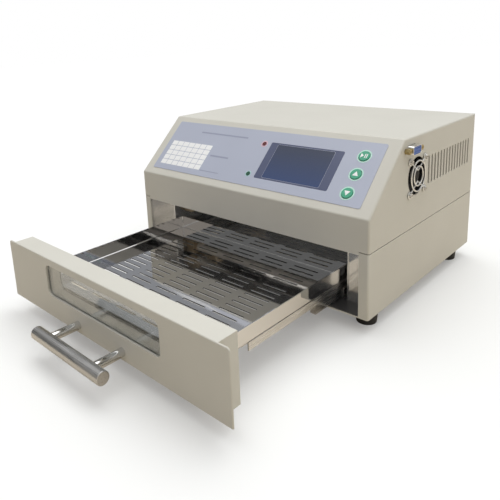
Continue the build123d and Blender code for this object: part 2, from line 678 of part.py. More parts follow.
BUTTON_PROUD = 0.9
for button_name, button_s in BUTTON_S.items():
    with BuildPart() as button:
        with BuildSketch(SLOPE.offset(-SHEET - 1.6)):
            with Locations((BUTTON_X, button_s)):
                Circle(BUTTON_HOLE_RADIUS + 1.4)
        extrude(amount=1.4)
        with BuildSketch(SLOPE.offset(-SHEET - 1.6)):
            with Locations((BUTTON_X, button_s)):
                Circle(BUTTON_RADIUS)
        extrude(amount=SHEET + 1.6 + PANEL_THICKNESS + BUTTON_PROUD)
        face_height = SLOPE.offset(PANEL_THICKNESS + BUTTON_PROUD)
        cap_rim = [e for e in button.edges() if abs(face_height.to_local_coords(e.center()).Z) < 0.01]
        fillet(cap_rim, 0.5)
    save(button, button_name)

for led_name, led_s in LED_S.items():
    with BuildPart() as led:
        with BuildSketch(SLOPE.offset(-8.0)):
            with Locations((LED_X, led_s)):
                Circle(LED_RADIUS)
        extrude(amount=8.0 + PANEL_THICKNESS + 0.4)
    save(led, led_name)

# ---------------------------------------------------------------- right side: fan and serial socket
SIDE_FAN_CENTRE = (SIDE, SIDE_FAN_Y, BASE + SIDE_FAN_HEIGHT)
SIDE_FAN_OUT = Plane(origin=SIDE_FAN_CENTRE, x_dir=(0, 1, 0), z_dir=(1, 0, 0))
save(fan_frame(SIDE_FAN_OUT.offset(-SHEET), SIDE_FAN_SIZE, SIDE_FAN_DEPTH, SIDE_FAN_PITCH), "side_fan_frame")
save(fan_rotor(SIDE_FAN_OUT.offset(-SHEET), SIDE_FAN_SIZE, SIDE_FAN_DEPTH), "side_fan_rotor")
save(fan_guard(SIDE_FAN_OUT, SIDE_FAN_PITCH, (9.5, 15.0), 0.8), "side_fan_guard")

SERIAL_OUT = Plane(origin=(SIDE, SERIAL_Y, BASE + SERIAL_HEIGHT), x_dir=(0, 1, 0), z_dir=(1, 0, 0))
with BuildPart() as serial_shell:
    with BuildSketch(SERIAL_OUT.offset(-SHEET - 1.0)):
        RectangleRounded(30.8, 12.5, 1.2)
        with GridLocations(SERIAL_SCREW_SPACING, 1, 2, 1):
            Circle(M3_HOLE, mode=Mode.SUBTRACT)
    extrude(amount=1.0)
    with BuildSketch(SERIAL_OUT.offset(-SHEET)):
        RectangleRounded(17.0, 8.4, 2.0)
    extrude(amount=6.0 + SHEET)
    with BuildSketch(SERIAL_OUT.offset(6.0)):
        RectangleRounded(16.0, 7.4, 1.6)
    extrude(amount=-8.2, mode=Mode.SUBTRACT)
save(serial_shell, "serial_shell")

with BuildPart() as serial_insert:
    with BuildSketch(SERIAL_OUT.offset(5.4)):
        RectangleRounded(16.0, 7.4, 1.6)
    extrude(amount=-12.0)
    with BuildSketch(SERIAL_OUT.offset(5.4)):
        with Locations((0, 1.42)):
            with GridLocations(2.77, 1, 5, 1):
                Circle(0.55)
        with Locations((0, -1.42)):
            with GridLocations(2.77, 1, 4, 1):
                Circle(0.55)
    extrude(amount=-4.0, mode=Mode.SUBTRACT)
save(serial_insert, "serial_insert")

with BuildPart() as serial_nuts:
    with BuildSketch(SERIAL_OUT):
        with GridLocations(SERIAL_SCREW_SPACING, 1, 2, 1):
            RegularPolygon(2.75, 6)
    extrude(amount=5.2)
    with BuildSketch(SERIAL_OUT):
        with GridLocations(SERIAL_SCREW_SPACING, 1, 2, 1):
            Circle(1.5)
    extrude(amount=-6.0)
    with BuildSketch(SERIAL_OUT.offset(5.2)):
        with GridLocations(SERIAL_SCREW_SPACING, 1, 2, 1):
            Circle(SERIAL_THREAD_RADIUS)
    extrude(amount=-5.0, mode=Mode.SUBTRACT)
save(serial_nuts, "serial_nuts")

# ---------------------------------------------------------------- rear: exhaust fan, inlet, switch, fuse
REAR_FAN_CENTRE = (REAR_FAN_X, BACK, BASE + REAR_FAN_HEIGHT)
REAR_FAN_OUT = Plane(origin=REAR_FAN_CENTRE, x_dir=(-1, 0, 0), z_dir=(0, 1, 0))
save(fan_frame(REAR_FAN_OUT.offset(-SHEET), REAR_FAN_SIZE, REAR_FAN_DEPTH, REAR_FAN_PITCH), "rear_fan_frame")
save(fan_rotor(REAR_FAN_OUT.offset(-SHEET), REAR_FAN_SIZE, REAR_FAN_DEPTH), "rear_fan_rotor")
save(fan_guard(REAR_FAN_OUT, REAR_FAN_PITCH, (9.0, 18.0, 27.0), 0.8), "rear_fan_guard")

with BuildPart() as fan_screws:
    for out_plane, pitch in ((SIDE_FAN_OUT, SIDE_FAN_PITCH), (REAR_FAN_OUT, REAR_FAN_PITCH)):
        head_plane = out_plane.offset(1.6)
        with BuildSketch(head_plane):
            with Locations(*square_spots(pitch)):
                Circle(2.5)
        extrude(amount=1.6, taper=12)
        with BuildSketch(head_plane):
            with Locations(*square_spots(pitch)):
                Circle(M3_HOLE)
        extrude(amount=-11.0)
        with BuildSketch(head_plane.offset(1.6)):
            with Locations(*square_spots(pitch)):
                Rectangle(2.8, 0.7)
                Rectangle(0.7, 2.8)
        extrude(amount=-0.9, mode=Mode.SUBTRACT)
save(fan_screws, "fan_screws")

INLET_OUT = Plane(origin=(INLET_X, BACK, BASE + INLET_HEIGHT), x_dir=(-1, 0, 0), z_dir=(0, 1, 0))
with BuildPart() as power_inlet:
    with BuildSketch(INLET_OUT):
        RectangleRounded(50.0, 24.0, 3.0)
        with GridLocations(INLET_SCREW_SPACING, 1, 2, 1):
            Circle(M3_HOLE, mode=Mode.SUBTRACT)
    extrude(amount=3.0)
    with BuildSketch(INLET_OUT):
        RectangleRounded(27.6, 20.2, 2.0)
    extrude(amount=-20.0)
    with BuildSketch(INLET_OUT.offset(3.0)):
        with BuildLine():
            Polyline((-12, -8), (12, -8), (12, 3.5), (7.5, 8), (-7.5, 8), (-12, 3.5), close=True)
        make_face()
    extrude(amount=-18.0, mode=Mode.SUBTRACT)
    with BuildSketch(INLET_OUT.offset(-15.0)):
        with Locations((-7.0, -2.0), (7.0, -2.0), (0, 2.6)):
            Rectangle(2.0, 4.0)
    extrude(amount=15.5)
save(power_inlet, "power_inlet")

SWITCH_OUT = Plane(origin=(SWITCH_X, BACK, BASE + INLET_HEIGHT), x_dir=(-1, 0, 0), z_dir=(0, 1, 0))
with BuildPart() as switch_housing:
    with BuildSketch(SWITCH_OUT):
        RectangleRounded(15.0, 21.0, 1.0)
    extrude(amount=2.0)
    with BuildSketch(SWITCH_OUT):
        Rectangle(12.8, 19.0)
    extrude(amount=-16.0)
    with BuildSketch(SWITCH_OUT.offset(2.0)):
        Rectangle(11.0, 17.0)
    extrude(amount=-10.0, mode=Mode.SUBTRACT)
save(switch_housing, "switch_housing")

ROCKER_PIVOT = (SWITCH_X, BACK - 2.5, BASE + INLET_HEIGHT)
ROCKER_OUTLINE = [(-4.5, -3.0), (1.0, -7.2), (6.2, -7.0), (4.6, 0.0), (6.2, 7.0), (1.0, 7.2), (-4.5, 3.0)]
ROCKER_HALF_TRAVEL = 11.0
ROCKER_PLANE = Plane(origin=ROCKER_PIVOT, x_dir=(0, 1, 0), z_dir=(1, 0, 0))
with BuildPart() as switch_rocker:
    with BuildSketch(Plane(ROCKER_PLANE.location * Location((0, 0, 0), (0, 0, ROCKER_HALF_TRAVEL)))):
        with BuildLine():
            Polyline(*ROCKER_OUTLINE, close=True)
        make_face()
    extrude(amount=5.2, both=True)
save(switch_rocker, "switch_rocker")

with BuildPart() as fuse_holder:
    fuse_out = Plane(origin=(FUSE_X, BACK, BASE + INLET_HEIGHT), x_dir=(-1, 0, 0), z_dir=(0, 1, 0))
    with BuildSketch(fuse_out):
        Circle(8.0)
    extrude(amount=2.5)
    with BuildSketch(fuse_out):
        Circle(6.0)
    extrude(amount=-22.0)
    with BuildSketch(fuse_out.offset(2.5)):
        Circle(5.6)
    extrude(amount=7.0, taper=3)
    with BuildSketch(fuse_out.offset(9.5)):
        Rectangle(9.0, 1.4)
    extrude(amount=-1.6, mode=Mode.SUBTRACT)
save(fuse_holder, "fuse_holder")

# ---------------------------------------------------------------- drawer front
WINDOW_LOW = BASE + WINDOW_BOTTOM
WINDOW_CENTRE_Z = WINDOW_LOW + WINDOW_HEIGHT / 2
DRAWER_FACE = Plane(origin=(0, PLATE_FRONT, 0), x_dir=(1, 0, 0), z_dir=(0, -1, 0))
DRAWER_TOP = BASE + FRONT_PLATE_HEIGHT
POST_SPOTS = [(side * HANDLE_POST_SPACING / 2, BASE + HANDLE_HEIGHT) for side in (-1, 1)]
with BuildPart() as drawer_front:
    add_block((-SIDE, PLATE_FRONT, BASE), (SIDE, PLATE_BACK, DRAWER_TOP))
    fillet(drawer_front.edges().filter_by(Axis.Y).group_by(Axis.Z)[-1], BEND_RADIUS)
    add_block(
        (-FRONT_BOX_HALF_WIDTH, PLATE_FRONT, BASE + FRONT_BOX_BOTTOM),
        (FRONT_BOX_HALF_WIDTH, BOX_BACK, DRAWER_TOP),
    )
    add_block(
        (-FRONT_BOX_HALF_WIDTH + SHEET, PLATE_BACK, BASE + FRONT_BOX_BOTTOM + SHEET),
        (FRONT_BOX_HALF_WIDTH - SHEET, BOX_BACK - SHEET, DRAWER_TOP - SHEET),
        Mode.SUBTRACT,
    )
    with BuildSketch(DRAWER_FACE):
        with Locations((0, WINDOW_CENTRE_Z)):
            RectangleRounded(WINDOW_WIDTH + 2 * SHEET, WINDOW_HEIGHT + 2 * SHEET, WINDOW_RADIUS + SHEET)
    extrude(amount=-(FRONT_BOX_DEPTH + SHEET))
    with BuildSketch(DRAWER_FACE):
        with Locations((0, WINDOW_CENTRE_Z)):
            RectangleRounded(WINDOW_WIDTH, WINDOW_HEIGHT, WINDOW_RADIUS)
        with Locations(*POST_SPOTS):
            Circle(M4_SHANK)
    extrude(amount=-(FRONT_BOX_DEPTH + SHEET), mode=Mode.SUBTRACT)
    front_bend = [
        edge
        for edge in drawer_front.edges().filter_by(Axis.X)
        if abs(edge.center().Y - PLATE_FRONT) < 0.01 and abs(edge.center().Z - DRAWER_TOP) < 0.01
    ]
    fillet(front_bend, 1.1)
    rear_wall_holes = [(x, BASE + TRAY_FLOOR_HEIGHT + 9) for x in (-105.0, 105.0)]
    with BuildSketch(DRAWER_FACE.offset(-(FRONT_BOX_DEPTH + SHEET))):
        with Locations(*rear_wall_holes):
            Circle(M3_HOLE)
    extrude(amount=3.0, mode=Mode.SUBTRACT)
save(drawer_front, "drawer_front")

GLASS_PLACES = {
    "window_glass_outer": SHEET + 0.6,
    "window_glass_inner": FRONT_BOX_DEPTH + SHEET - GLASS_THICKNESS,
}
for glass_name, glass_depth in GLASS_PLACES.items():
    with BuildPart() as glass:
        with BuildSketch(DRAWER_FACE.offset(-glass_depth)):
            with Locations((0, WINDOW_CENTRE_Z)):
                RectangleRounded(WINDOW_WIDTH, WINDOW_HEIGHT, WINDOW_RADIUS)
        extrude(amount=-GLASS_THICKNESS)
    save(glass, glass_name)

BAR_Y = PLATE_FRONT - HANDLE_STANDOFF
with BuildPart() as handle_bar:
    with BuildSketch(Plane.YZ):
        with Locations((BAR_Y, BASE + HANDLE_HEIGHT)):
            Circle(HANDLE_BAR_RADIUS)
    extrude(amount=HANDLE_BAR_LENGTH / 2, both=True)
    fillet(handle_bar.edges().filter_by(GeomType.CIRCLE), 0.8)
    with BuildSketch(DRAWER_FACE.offset(HANDLE_STANDOFF - HANDLE_BAR_RADIUS - 1)):
        with Locations(*POST_SPOTS):
            Circle(HANDLE_POST_RADIUS)
    extrude(amount=HANDLE_SOCKET_DEPTH + 1, mode=Mode.SUBTRACT)
save(handle_bar, "handle_bar")

POST_LENGTH = HANDLE_STANDOFF - HANDLE_BAR_RADIUS + HANDLE_SOCKET_DEPTH
with BuildPart() as handle_posts:
    with BuildSketch(DRAWER_FACE):
        with Locations(*POST_SPOTS):
            Circle(HANDLE_POST_RADIUS)
    extrude(amount=POST_LENGTH)
    with BuildSketch(DRAWER_FACE):
        with Locations(*POST_SPOTS):
            Circle(M4_SHANK)
    extrude(amount=11.0, mode=Mode.SUBTRACT)
save(handle_posts, "handle_posts")

handle_screws = pan_screws(
    Plane(origin=(0, PLATE_BACK, 0), x_dir=(1, 0, 0), z_dir=(0, 1, 0)),
    [(x, -z) for x, z in POST_SPOTS],
    shank_length=SHEET + 9.0,
    **M4_SCREW,
)
save(handle_screws, "handle_screws")

# ---------------------------------------------------------------- slotted tray
TRAY_LOW = BASE + TRAY_FLOOR_HEIGHT
TRAY_RIM = BASE + TRAY_RIM_HEIGHT
FIRST_ROW_Y = TRAY_BACK - 10.0
with BuildPart() as slotted_tray:
    add_block((-TRAY_HALF_WIDTH, TRAY_FRONT, TRAY_LOW), (TRAY_HALF_WIDTH, TRAY_BACK, TRAY_RIM))
    add_block(
        (-TRAY_HALF_WIDTH + TRAY_SHEET, TRAY_FRONT + TRAY_SHEET, TRAY_LOW + TRAY_SHEET),
        (TRAY_HALF_WIDTH - TRAY_SHEET, TRAY_BACK - TRAY_SHEET, TRAY_RIM + 1),
        Mode.SUBTRACT,
    )
    inside_corners = slotted_tray.edges().filter_by(Axis.Z).sort_by(lambda edge: abs(edge.center().X))[0:4]
    inside_folds = slotted_tray.edges().filter_by_position(Axis.Z, TRAY_LOW + 0.5, TRAY_LOW + 1.5)
    fillet(inside_corners + inside_folds, TRAY_FOLD_RADIUS)
    outside_folds = slotted_tray.edges().group_by(Axis.Z)[0]
    fillet(outside_folds, TRAY_FOLD_RADIUS + TRAY_SHEET - 0.1)
    # The front wall is cut down behind the window.
    with BuildSketch(Plane.XZ.offset(-TRAY_FRONT + 1)):
        with Locations((0, TRAY_LOW + TRAY_NOTCH_LIP + WINDOW_HEIGHT / 2)):
            Rectangle(WINDOW_WIDTH, WINDOW_HEIGHT)
    extrude(amount=-(TRAY_SHEET + 2), mode=Mode.SUBTRACT)
    with BuildSketch(Plane.XY.offset(TRAY_LOW)):
        with Locations(*slot_rows(FIRST_ROW_Y, SLOT_ROWS)):
            Rectangle(SLOT_LENGTH, SLOT_WIDTH)
    extrude(amount=TRAY_SHEET, mode=Mode.SUBTRACT)
    with BuildSketch(DRAWER_FACE.offset(-(FRONT_BOX_DEPTH + SHEET))):
        with Locations(*rear_wall_holes):
            Circle(M3_HOLE)
    extrude(amount=-3.0, mode=Mode.SUBTRACT)
save(slotted_tray, "slotted_tray")

tray_screws = pan_screws(
    Plane(origin=(0, TRAY_FRONT + TRAY_SHEET, 0), x_dir=(1, 0, 0), z_dir=(0, 1, 0)),
    [(x, -z) for x, z in rear_wall_holes],
    **M3_SCREW,
)
save(tray_screws, "tray_screws")

# ---------------------------------------------------------------- telescopic slides
RAIL_FRONT = TRAY_FRONT + 40.0
RAIL_BOTTOM = TRAY_LOW - SLIDE_RAIL_HEIGHT
MIDDLE_LENGTH = 124.0
MIDDLE_FRONT = FRONT - 24.0
MIDDLE_BOTTOM = BASE + 3.6
MIDDLE_HALF = SLIDE_WIDTH / 2 - SLIDE_WALL - SLIDE_CLEARANCE
with BuildPart() as slide_rails:
    for side in (-1, 1):
        x = side * SLIDE_HALF_SPACING
        add_block((x - SLIDE_WIDTH / 2, RAIL_FRONT, RAIL_BOTTOM), (x + SLIDE_WIDTH / 2, TRAY_BACK, TRAY_LOW))
        add_block(
            (x - SLIDE_WIDTH / 2 + SLIDE_WALL, RAIL_FRONT - 1, RAIL_BOTTOM - 1),
            (x + SLIDE_WIDTH / 2 - SLIDE_WALL, TRAY_BACK + 1, TRAY_LOW - SLIDE_WALL),
            Mode.SUBTRACT,
        )
save(slide_rails, "slide_rails")

for middle_name, side in (("slide_middle_left", -1), ("slide_middle_right", 1)):
    x = side * SLIDE_HALF_SPACING
    with BuildPart() as slide_middle:
        add_block(
            (x - MIDDLE_HALF, MIDDLE_FRONT, MIDDLE_BOTTOM),
            (x + MIDDLE_HALF, MIDDLE_FRONT + MIDDLE_LENGTH, TRAY_LOW - SLIDE_WALL - SLIDE_CLEARANCE),
        )
    save(slide_middle, middle_name)

with BuildPart() as slide_channels:
    for side in (-1, 1):
        x = side * SLIDE_HALF_SPACING
        add_block(
            (x - SLIDE_WIDTH / 2, CHAMBER_FRONT + 1, FLOOR_TOP),
            (x + SLIDE_WIDTH / 2, CHAMBER_BACK - 3, RAIL_BOTTOM - 0.6),
        )
        add_block(
            (x - SLIDE_WIDTH / 2 + SLIDE_WALL, CHAMBER_FRONT, MIDDLE_BOTTOM - SLIDE_CLEARANCE),
            (x + SLIDE_WIDTH / 2 - SLIDE_WALL, CHAMBER_BACK, RAIL_BOTTOM),
            Mode.SUBTRACT,
        )
save(slide_channels, "slide_channels")
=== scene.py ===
import math
import bmesh
import bpy
from mathutils import Matrix, Vector


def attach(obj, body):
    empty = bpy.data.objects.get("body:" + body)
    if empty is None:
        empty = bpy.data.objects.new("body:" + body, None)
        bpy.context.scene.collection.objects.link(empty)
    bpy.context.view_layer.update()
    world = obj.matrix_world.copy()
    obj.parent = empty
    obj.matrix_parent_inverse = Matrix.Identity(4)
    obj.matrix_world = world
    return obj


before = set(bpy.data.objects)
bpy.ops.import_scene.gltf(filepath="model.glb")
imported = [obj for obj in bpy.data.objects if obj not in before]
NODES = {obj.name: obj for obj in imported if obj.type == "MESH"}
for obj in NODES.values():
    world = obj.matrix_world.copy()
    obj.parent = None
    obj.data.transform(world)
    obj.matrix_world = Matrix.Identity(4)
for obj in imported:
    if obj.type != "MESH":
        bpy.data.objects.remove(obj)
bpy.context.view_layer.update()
scene = bpy.context.scene
MM = 0.001

# The control face, in metres, in the shared frame: its lower edge and its directions.
FRONT_Y = -0.119
SLOPE_LOW = Vector((0.0, FRONT_Y, 0.110))
SLOPE_ALONG = Vector((0.0, 0.064, 0.060)).normalized()
SLOPE_OUT = Vector((0.0, -0.060, 0.064)).normalized()


# ---------------------------------------------------------------- material helpers
def new_material(name):
    """A material with a Principled shader. Returns it, its nodes, its links and the shader."""
    material = bpy.data.materials.new(name)
    material.use_nodes = True
    nodes, links = material.node_tree.nodes, material.node_tree.links
    return material, nodes, links, nodes["Principled BSDF"]


def place(nodes, links, scale=(1, 1, 1)):
    """Object coordinates, stretched by scale."""
    coordinates = nodes.new("ShaderNodeTexCoord")
    mapping = nodes.new("ShaderNodeMapping")
    mapping.inputs["Scale"].default_value = scale
    links.new(coordinates.outputs["Object"], mapping.inputs["Vector"])
    return mapping.outputs["Vector"]


def noise(nodes, links, vector, scale, detail=2.0, roughness=0.5):
    """A noise texture's value output."""
    texture = nodes.new("ShaderNodeTexNoise")
    texture.inputs["Scale"].default_value = scale
    texture.inputs["Detail"].default_value = detail
    texture.inputs["Roughness"].default_value = roughness
    links.new(vector, texture.inputs["Vector"])
    return texture.outputs["Fac"]


def spread(nodes, links, value, low, high, start=0.3, end=0.7):
    """Maps a texture's value to the range low to high."""
    ranged = nodes.new("ShaderNodeMapRange")
    ranged.inputs["From Min"].default_value = start
    ranged.inputs["From Max"].default_value = end
    ranged.inputs["To Min"].default_value = low
    ranged.inputs["To Max"].default_value = high
    links.new(value, ranged.inputs["Value"])
    return ranged.outputs["Result"]


def tint(nodes, links, value, first, second, start=0.3, end=0.7):
    """A colour between first and second, by a texture's value."""
    ramp = nodes.new("ShaderNodeValToRGB")
    ramp.color_ramp.elements[0].position = start
    ramp.color_ramp.elements[1].position = end
    ramp.color_ramp.elements[0].color = (*first, 1)
    ramp.color_ramp.elements[1].color = (*second, 1)
    links.new(value, ramp.inputs["Fac"])
    return ramp.outputs["Color"]


def blend_colours(nodes, links, factor, first, second):
    """Mixes two colours, each a colour or another node's output."""
    mixed = nodes.new("ShaderNodeMixRGB")
    links.new(factor, mixed.inputs["Fac"])
    for socket, colour in ((mixed.inputs["Color1"], first), (mixed.inputs["Color2"], second)):
        if isinstance(colour, tuple):
            socket.default_value = (*colour, 1)
        else:
            links.new(colour, socket)
    return mixed.outputs["Color"]


def bump(nodes, links, shader, height, distance, strength=1.0):
    """Joins a height to the shader's normal."""
    node = nodes.new("ShaderNodeBump")
    node.inputs["Distance"].default_value = distance
    node.inputs["Strength"].default_value = strength
    links.new(height, node.inputs["Height"])
    links.new(node.outputs["Normal"], shader.inputs["Normal"])


def powder_coat(name, colour, shade, roughness=0.42):
    """Baked powder coating: an even colour, slight clouding and a fine orange-peel surface."""
    material, nodes, links, shader = new_material(name)
    vector = place(nodes, links)
    clouds = noise(nodes, links, vector, 14.0, 3.0)
    links.new(tint(nodes, links, clouds, shade, colour), shader.inputs["Base Color"])
    grain = noise(nodes, links, vector, 1500.0, 2.0, 0.55)
    links.new(spread(nodes, links, grain, roughness - 0.05, roughness + 0.07), shader.inputs["Roughness"])
    bump(nodes, links, shader, grain, 0.00005, 0.5)
    shader.inputs["Specular IOR Level"].default_value = 0.4
    return material


def brushed_metal(name, colour, stretch, roughness=0.28, marks=0.10, anisotropic=0.4):
    """Satin metal with fine parallel scratches. The stretch is small along the scratches."""
    material, nodes, links, shader = new_material(name)
    scratches = noise(nodes, links, place(nodes, links, stretch), 900.0, 3.0, 0.6)
    darker = tuple(0.82 * c for c in colour)
    links.new(tint(nodes, links, scratches, darker, colour, 0.35, 0.6), shader.inputs["Base Color"])
    smudges = noise(nodes, links, place(nodes, links), 30.0, 2.0)
    mixed = nodes.new("ShaderNodeMath")
    mixed.operation = "ADD"
    links.new(spread(nodes, links, scratches, roughness - marks, roughness + marks), mixed.inputs[0])
    links.new(spread(nodes, links, smudges, -0.03, 0.04), mixed.inputs[1])
    links.new(mixed.outputs[0], shader.inputs["Roughness"])
    bump(nodes, links, shader, scratches, 0.00002, 0.3)
    shader.inputs["Metallic"].default_value = 1.0
    shader.inputs["Anisotropic"].default_value = anisotropic
    return material


def polished_metal(name, colour, roughness=0.05, smear=0.05, waviness=0.0, metallic=1.0):
    """Mirror-finish sheet: faint smears and, where asked, the slight waves of thin rolled sheet."""
    material, nodes, links, shader = new_material(name)
    vector = place(nodes, links)
    smears = noise(nodes, links, place(nodes, links, (1, 0.35, 1)), 45.0, 3.0)
    polish = spread(nodes, links, smears, roughness, roughness + smear, 0.4, 0.75)
    links.new(polish, shader.inputs["Roughness"])
    specks = noise(nodes, links, vector, 220.0, 2.0)
    darker = tuple(0.93 * c for c in colour)
    links.new(tint(nodes, links, specks, darker, colour), shader.inputs["Base Color"])
    if waviness:
        waves = noise(nodes, links, vector, 9.0, 1.0)
        bump(nodes, links, shader, waves, waviness, 1.0)
    shader.inputs["Metallic"].default_value = metallic
    return material


def slotted_sheet(name, colour):
    """Mirror-finish stainless sheet whose punched slot walls are rough, as raw cut edges, and coloured near
    black as painted shade for the shadowed floor seen through the slots.
    """
    material, nodes, links, shader = new_material(name)
    vector = place(nodes, links)
    smears = noise(nodes, links, place(nodes, links, (1, 0.35, 1)), 45.0, 3.0)
    polish = spread(nodes, links, smears, 0.03, 0.08, 0.4, 0.75)
    bump(nodes, links, shader, noise(nodes, links, vector, 9.0, 1.0), 0.00035, 1.0)
    geometry = nodes.new("ShaderNodeNewGeometry")
    normal = nodes.new("ShaderNodeSeparateXYZ")
    links.new(geometry.outputs["True Normal"], normal.inputs["Vector"])
    upright = nodes.new("ShaderNodeMath")
    upright.operation = "ABSOLUTE"
    links.new(normal.outputs["Z"], upright.inputs[0])
    wall = spread(nodes, links, upright.outputs[0], 1.0, 0.0, 0.45, 0.55)
    spot = nodes.new("ShaderNodeSeparateXYZ")
    links.new(vector, spot.inputs["Vector"])
    sheet_top = 0.0371
    low = spread(nodes, links, spot.outputs["Z"], 1.0, 0.0, sheet_top - 0.0002, sheet_top)
    # Slot walls below the sheet's top get painted shade: a near-black colour that stands in for the shadow
    # under the tray. They also get a higher roughness for the raw cut edges.
    raw_wall_painted_shade = nodes.new("ShaderNodeMath")
    raw_wall_painted_shade.operation = "MULTIPLY"
    links.new(wall, raw_wall_painted_shade.inputs[0])
    links.new(low, raw_wall_painted_shade.inputs[1])
    painted_slot_shade_colour = (0.05, 0.05, 0.05)
    links.new(blend_colours(nodes, links, raw_wall_painted_shade.outputs[0], colour, painted_slot_shade_colour), shader.inputs["Base Color"])
    rough = nodes.new("ShaderNodeMath")
    rough.operation = "MULTIPLY_ADD"
    rough.inputs[1].default_value = 0.5
    links.new(raw_wall_painted_shade.outputs[0], rough.inputs[0])
    links.new(polish, rough.inputs[2])
    links.new(rough.outputs[0], shader.inputs["Roughness"])
    shader.inputs["Metallic"].default_value = 1.0
    return material


def moulded(name, colour, roughness=0.45, grain_size=900.0, depth=0.00003):
    """Moulded plastic or rubber: a fine grain and slight variation in colour and gloss."""
    material, nodes, links, shader = new_material(name)
    vector = place(nodes, links)
    grain = noise(nodes, links, vector, grain_size, 2.0)
    lighter = tuple(min(1.0, c * 1.18 + 0.002) for c in colour)
    clouds = noise(nodes, links, vector, 60.0, 2.0)
    links.new(tint(nodes, links, clouds, colour, lighter), shader.inputs["Base Color"])
    links.new(spread(nodes, links, grain, roughness - 0.06, roughness + 0.06), shader.inputs["Roughness"])
    bump(nodes, links, shader, grain, depth, 0.5)
    return material


def galvanised(name, colour):
    """Zinc-plated sheet: large soft spangles and fine rolling marks."""
    material, nodes, links, shader = new_material(name)
    vector = place(nodes, links)
    cells = nodes.new("ShaderNodeTexVoronoi")
    cells.inputs["Scale"].default_value = 160.0
    links.new(vector, cells.inputs["Vector"])
    grey = nodes.new("ShaderNodeRGBToBW")
    links.new(cells.outputs["Color"], grey.inputs["Color"])
    darker = tuple(0.8 * c for c in colour)
    links.new(tint(nodes, links, grey.outputs["Val"], darker, colour, 0.1, 0.9), shader.inputs["Base Color"])
    links.new(spread(nodes, links, grey.outputs["Val"], 0.16, 0.30, 0.0, 1.0), shader.inputs["Roughness"])
    bump(nodes, links, shader, noise(nodes, links, vector, 300.0, 2.0), 0.00002, 0.4)
    shader.inputs["Metallic"].default_value = 1.0
    return material


def window_glass(name):
    """Clear toughened glass. Its rim is ground, and looks green through the sheet."""
    material, nodes, links, shader = new_material(name)
    vector = place(nodes, links)
    geometry = nodes.new("ShaderNodeNewGeometry")
    parts = nodes.new("ShaderNodeSeparateXYZ")
    links.new(geometry.outputs["True Normal"], parts.inputs["Vector"])
    facing = nodes.new("ShaderNodeMath")
    facing.operation = "ABSOLUTE"
    links.new(parts.outputs["Y"], facing.inputs[0])
    rim = spread(nodes, links, facing.outputs[0], 1.0, 0.0, 0.4, 0.6)
    colour = nodes.new("ShaderNodeMixRGB")
    colour.inputs["Color1"].default_value = (0.98, 0.995, 0.985, 1)
    colour.inputs["Color2"].default_value = (0.72, 0.86, 0.80, 1)
    links.new(rim, colour.inputs["Fac"])
    links.new(colour.outputs["Color"], shader.inputs["Base Color"])
    smears = noise(nodes, links, vector, 60.0, 3.0)
    film = spread(nodes, links, smears, 0.01, 0.04)
    rough = nodes.new("ShaderNodeMath")
    rough.operation = "MULTIPLY_ADD"
    rough.inputs[1].default_value = 0.25
    links.new(rim, rough.inputs[0])
    links.new(film, rough.inputs[2])
    links.new(rough.outputs[0], shader.inputs["Roughness"])
    shader.inputs["Transmission Weight"].default_value = 0.95
    shader.inputs["IOR"].default_value = 1.5
    return material


def printed_film(name, colour, roughness=0.34):
    """Printed polyester film: an almost even colour under a fine satin texture."""
    material, nodes, links, shader = new_material(name)
    vector = place(nodes, links)
    lighter = tuple(min(1.0, 1.03 * c) for c in colour)
    clouds = noise(nodes, links, vector, 22.0, 1.0)
    links.new(tint(nodes, links, clouds, colour, lighter), shader.inputs["Base Color"])
    grain = noise(nodes, links, vector, 1400.0, 2.0)
    links.new(spread(nodes, links, grain, roughness - 0.05, roughness + 0.05), shader.inputs["Roughness"])
    bump(nodes, links, shader, grain, 0.00002, 0.5)
    return material


def display_screen(name):
    """The unlit picture area: slate blue, slightly bluer and lighter at its lower edge, with faint dust."""
    material, nodes, links, shader = new_material(name)
    coordinates = nodes.new("ShaderNodeTexCoord")
    parts = nodes.new("ShaderNodeSeparateXYZ")
    links.new(coordinates.outputs["Object"], parts.inputs["Vector"])
    low_edge, high_edge = 0.1237, 0.1551
    height = spread(nodes, links, parts.outputs["Z"], 0.0, 1.0, low_edge, high_edge)
    slate = tint(nodes, links, height, (0.024, 0.052, 0.160), (0.032, 0.042, 0.078), 0.0, 1.0)
    specks = noise(nodes, links, place(nodes, links), 700.0, 3.0, 0.7)
    dust = spread(nodes, links, specks, 0.0, 0.10, 0.5, 0.8)
    links.new(blend_colours(nodes, links, dust, slate, (0.12, 0.13, 0.16)), shader.inputs["Base Color"])
    links.new(spread(nodes, links, dust, 0.14, 0.24, 0.0, 0.1), shader.inputs["Roughness"])
    return material


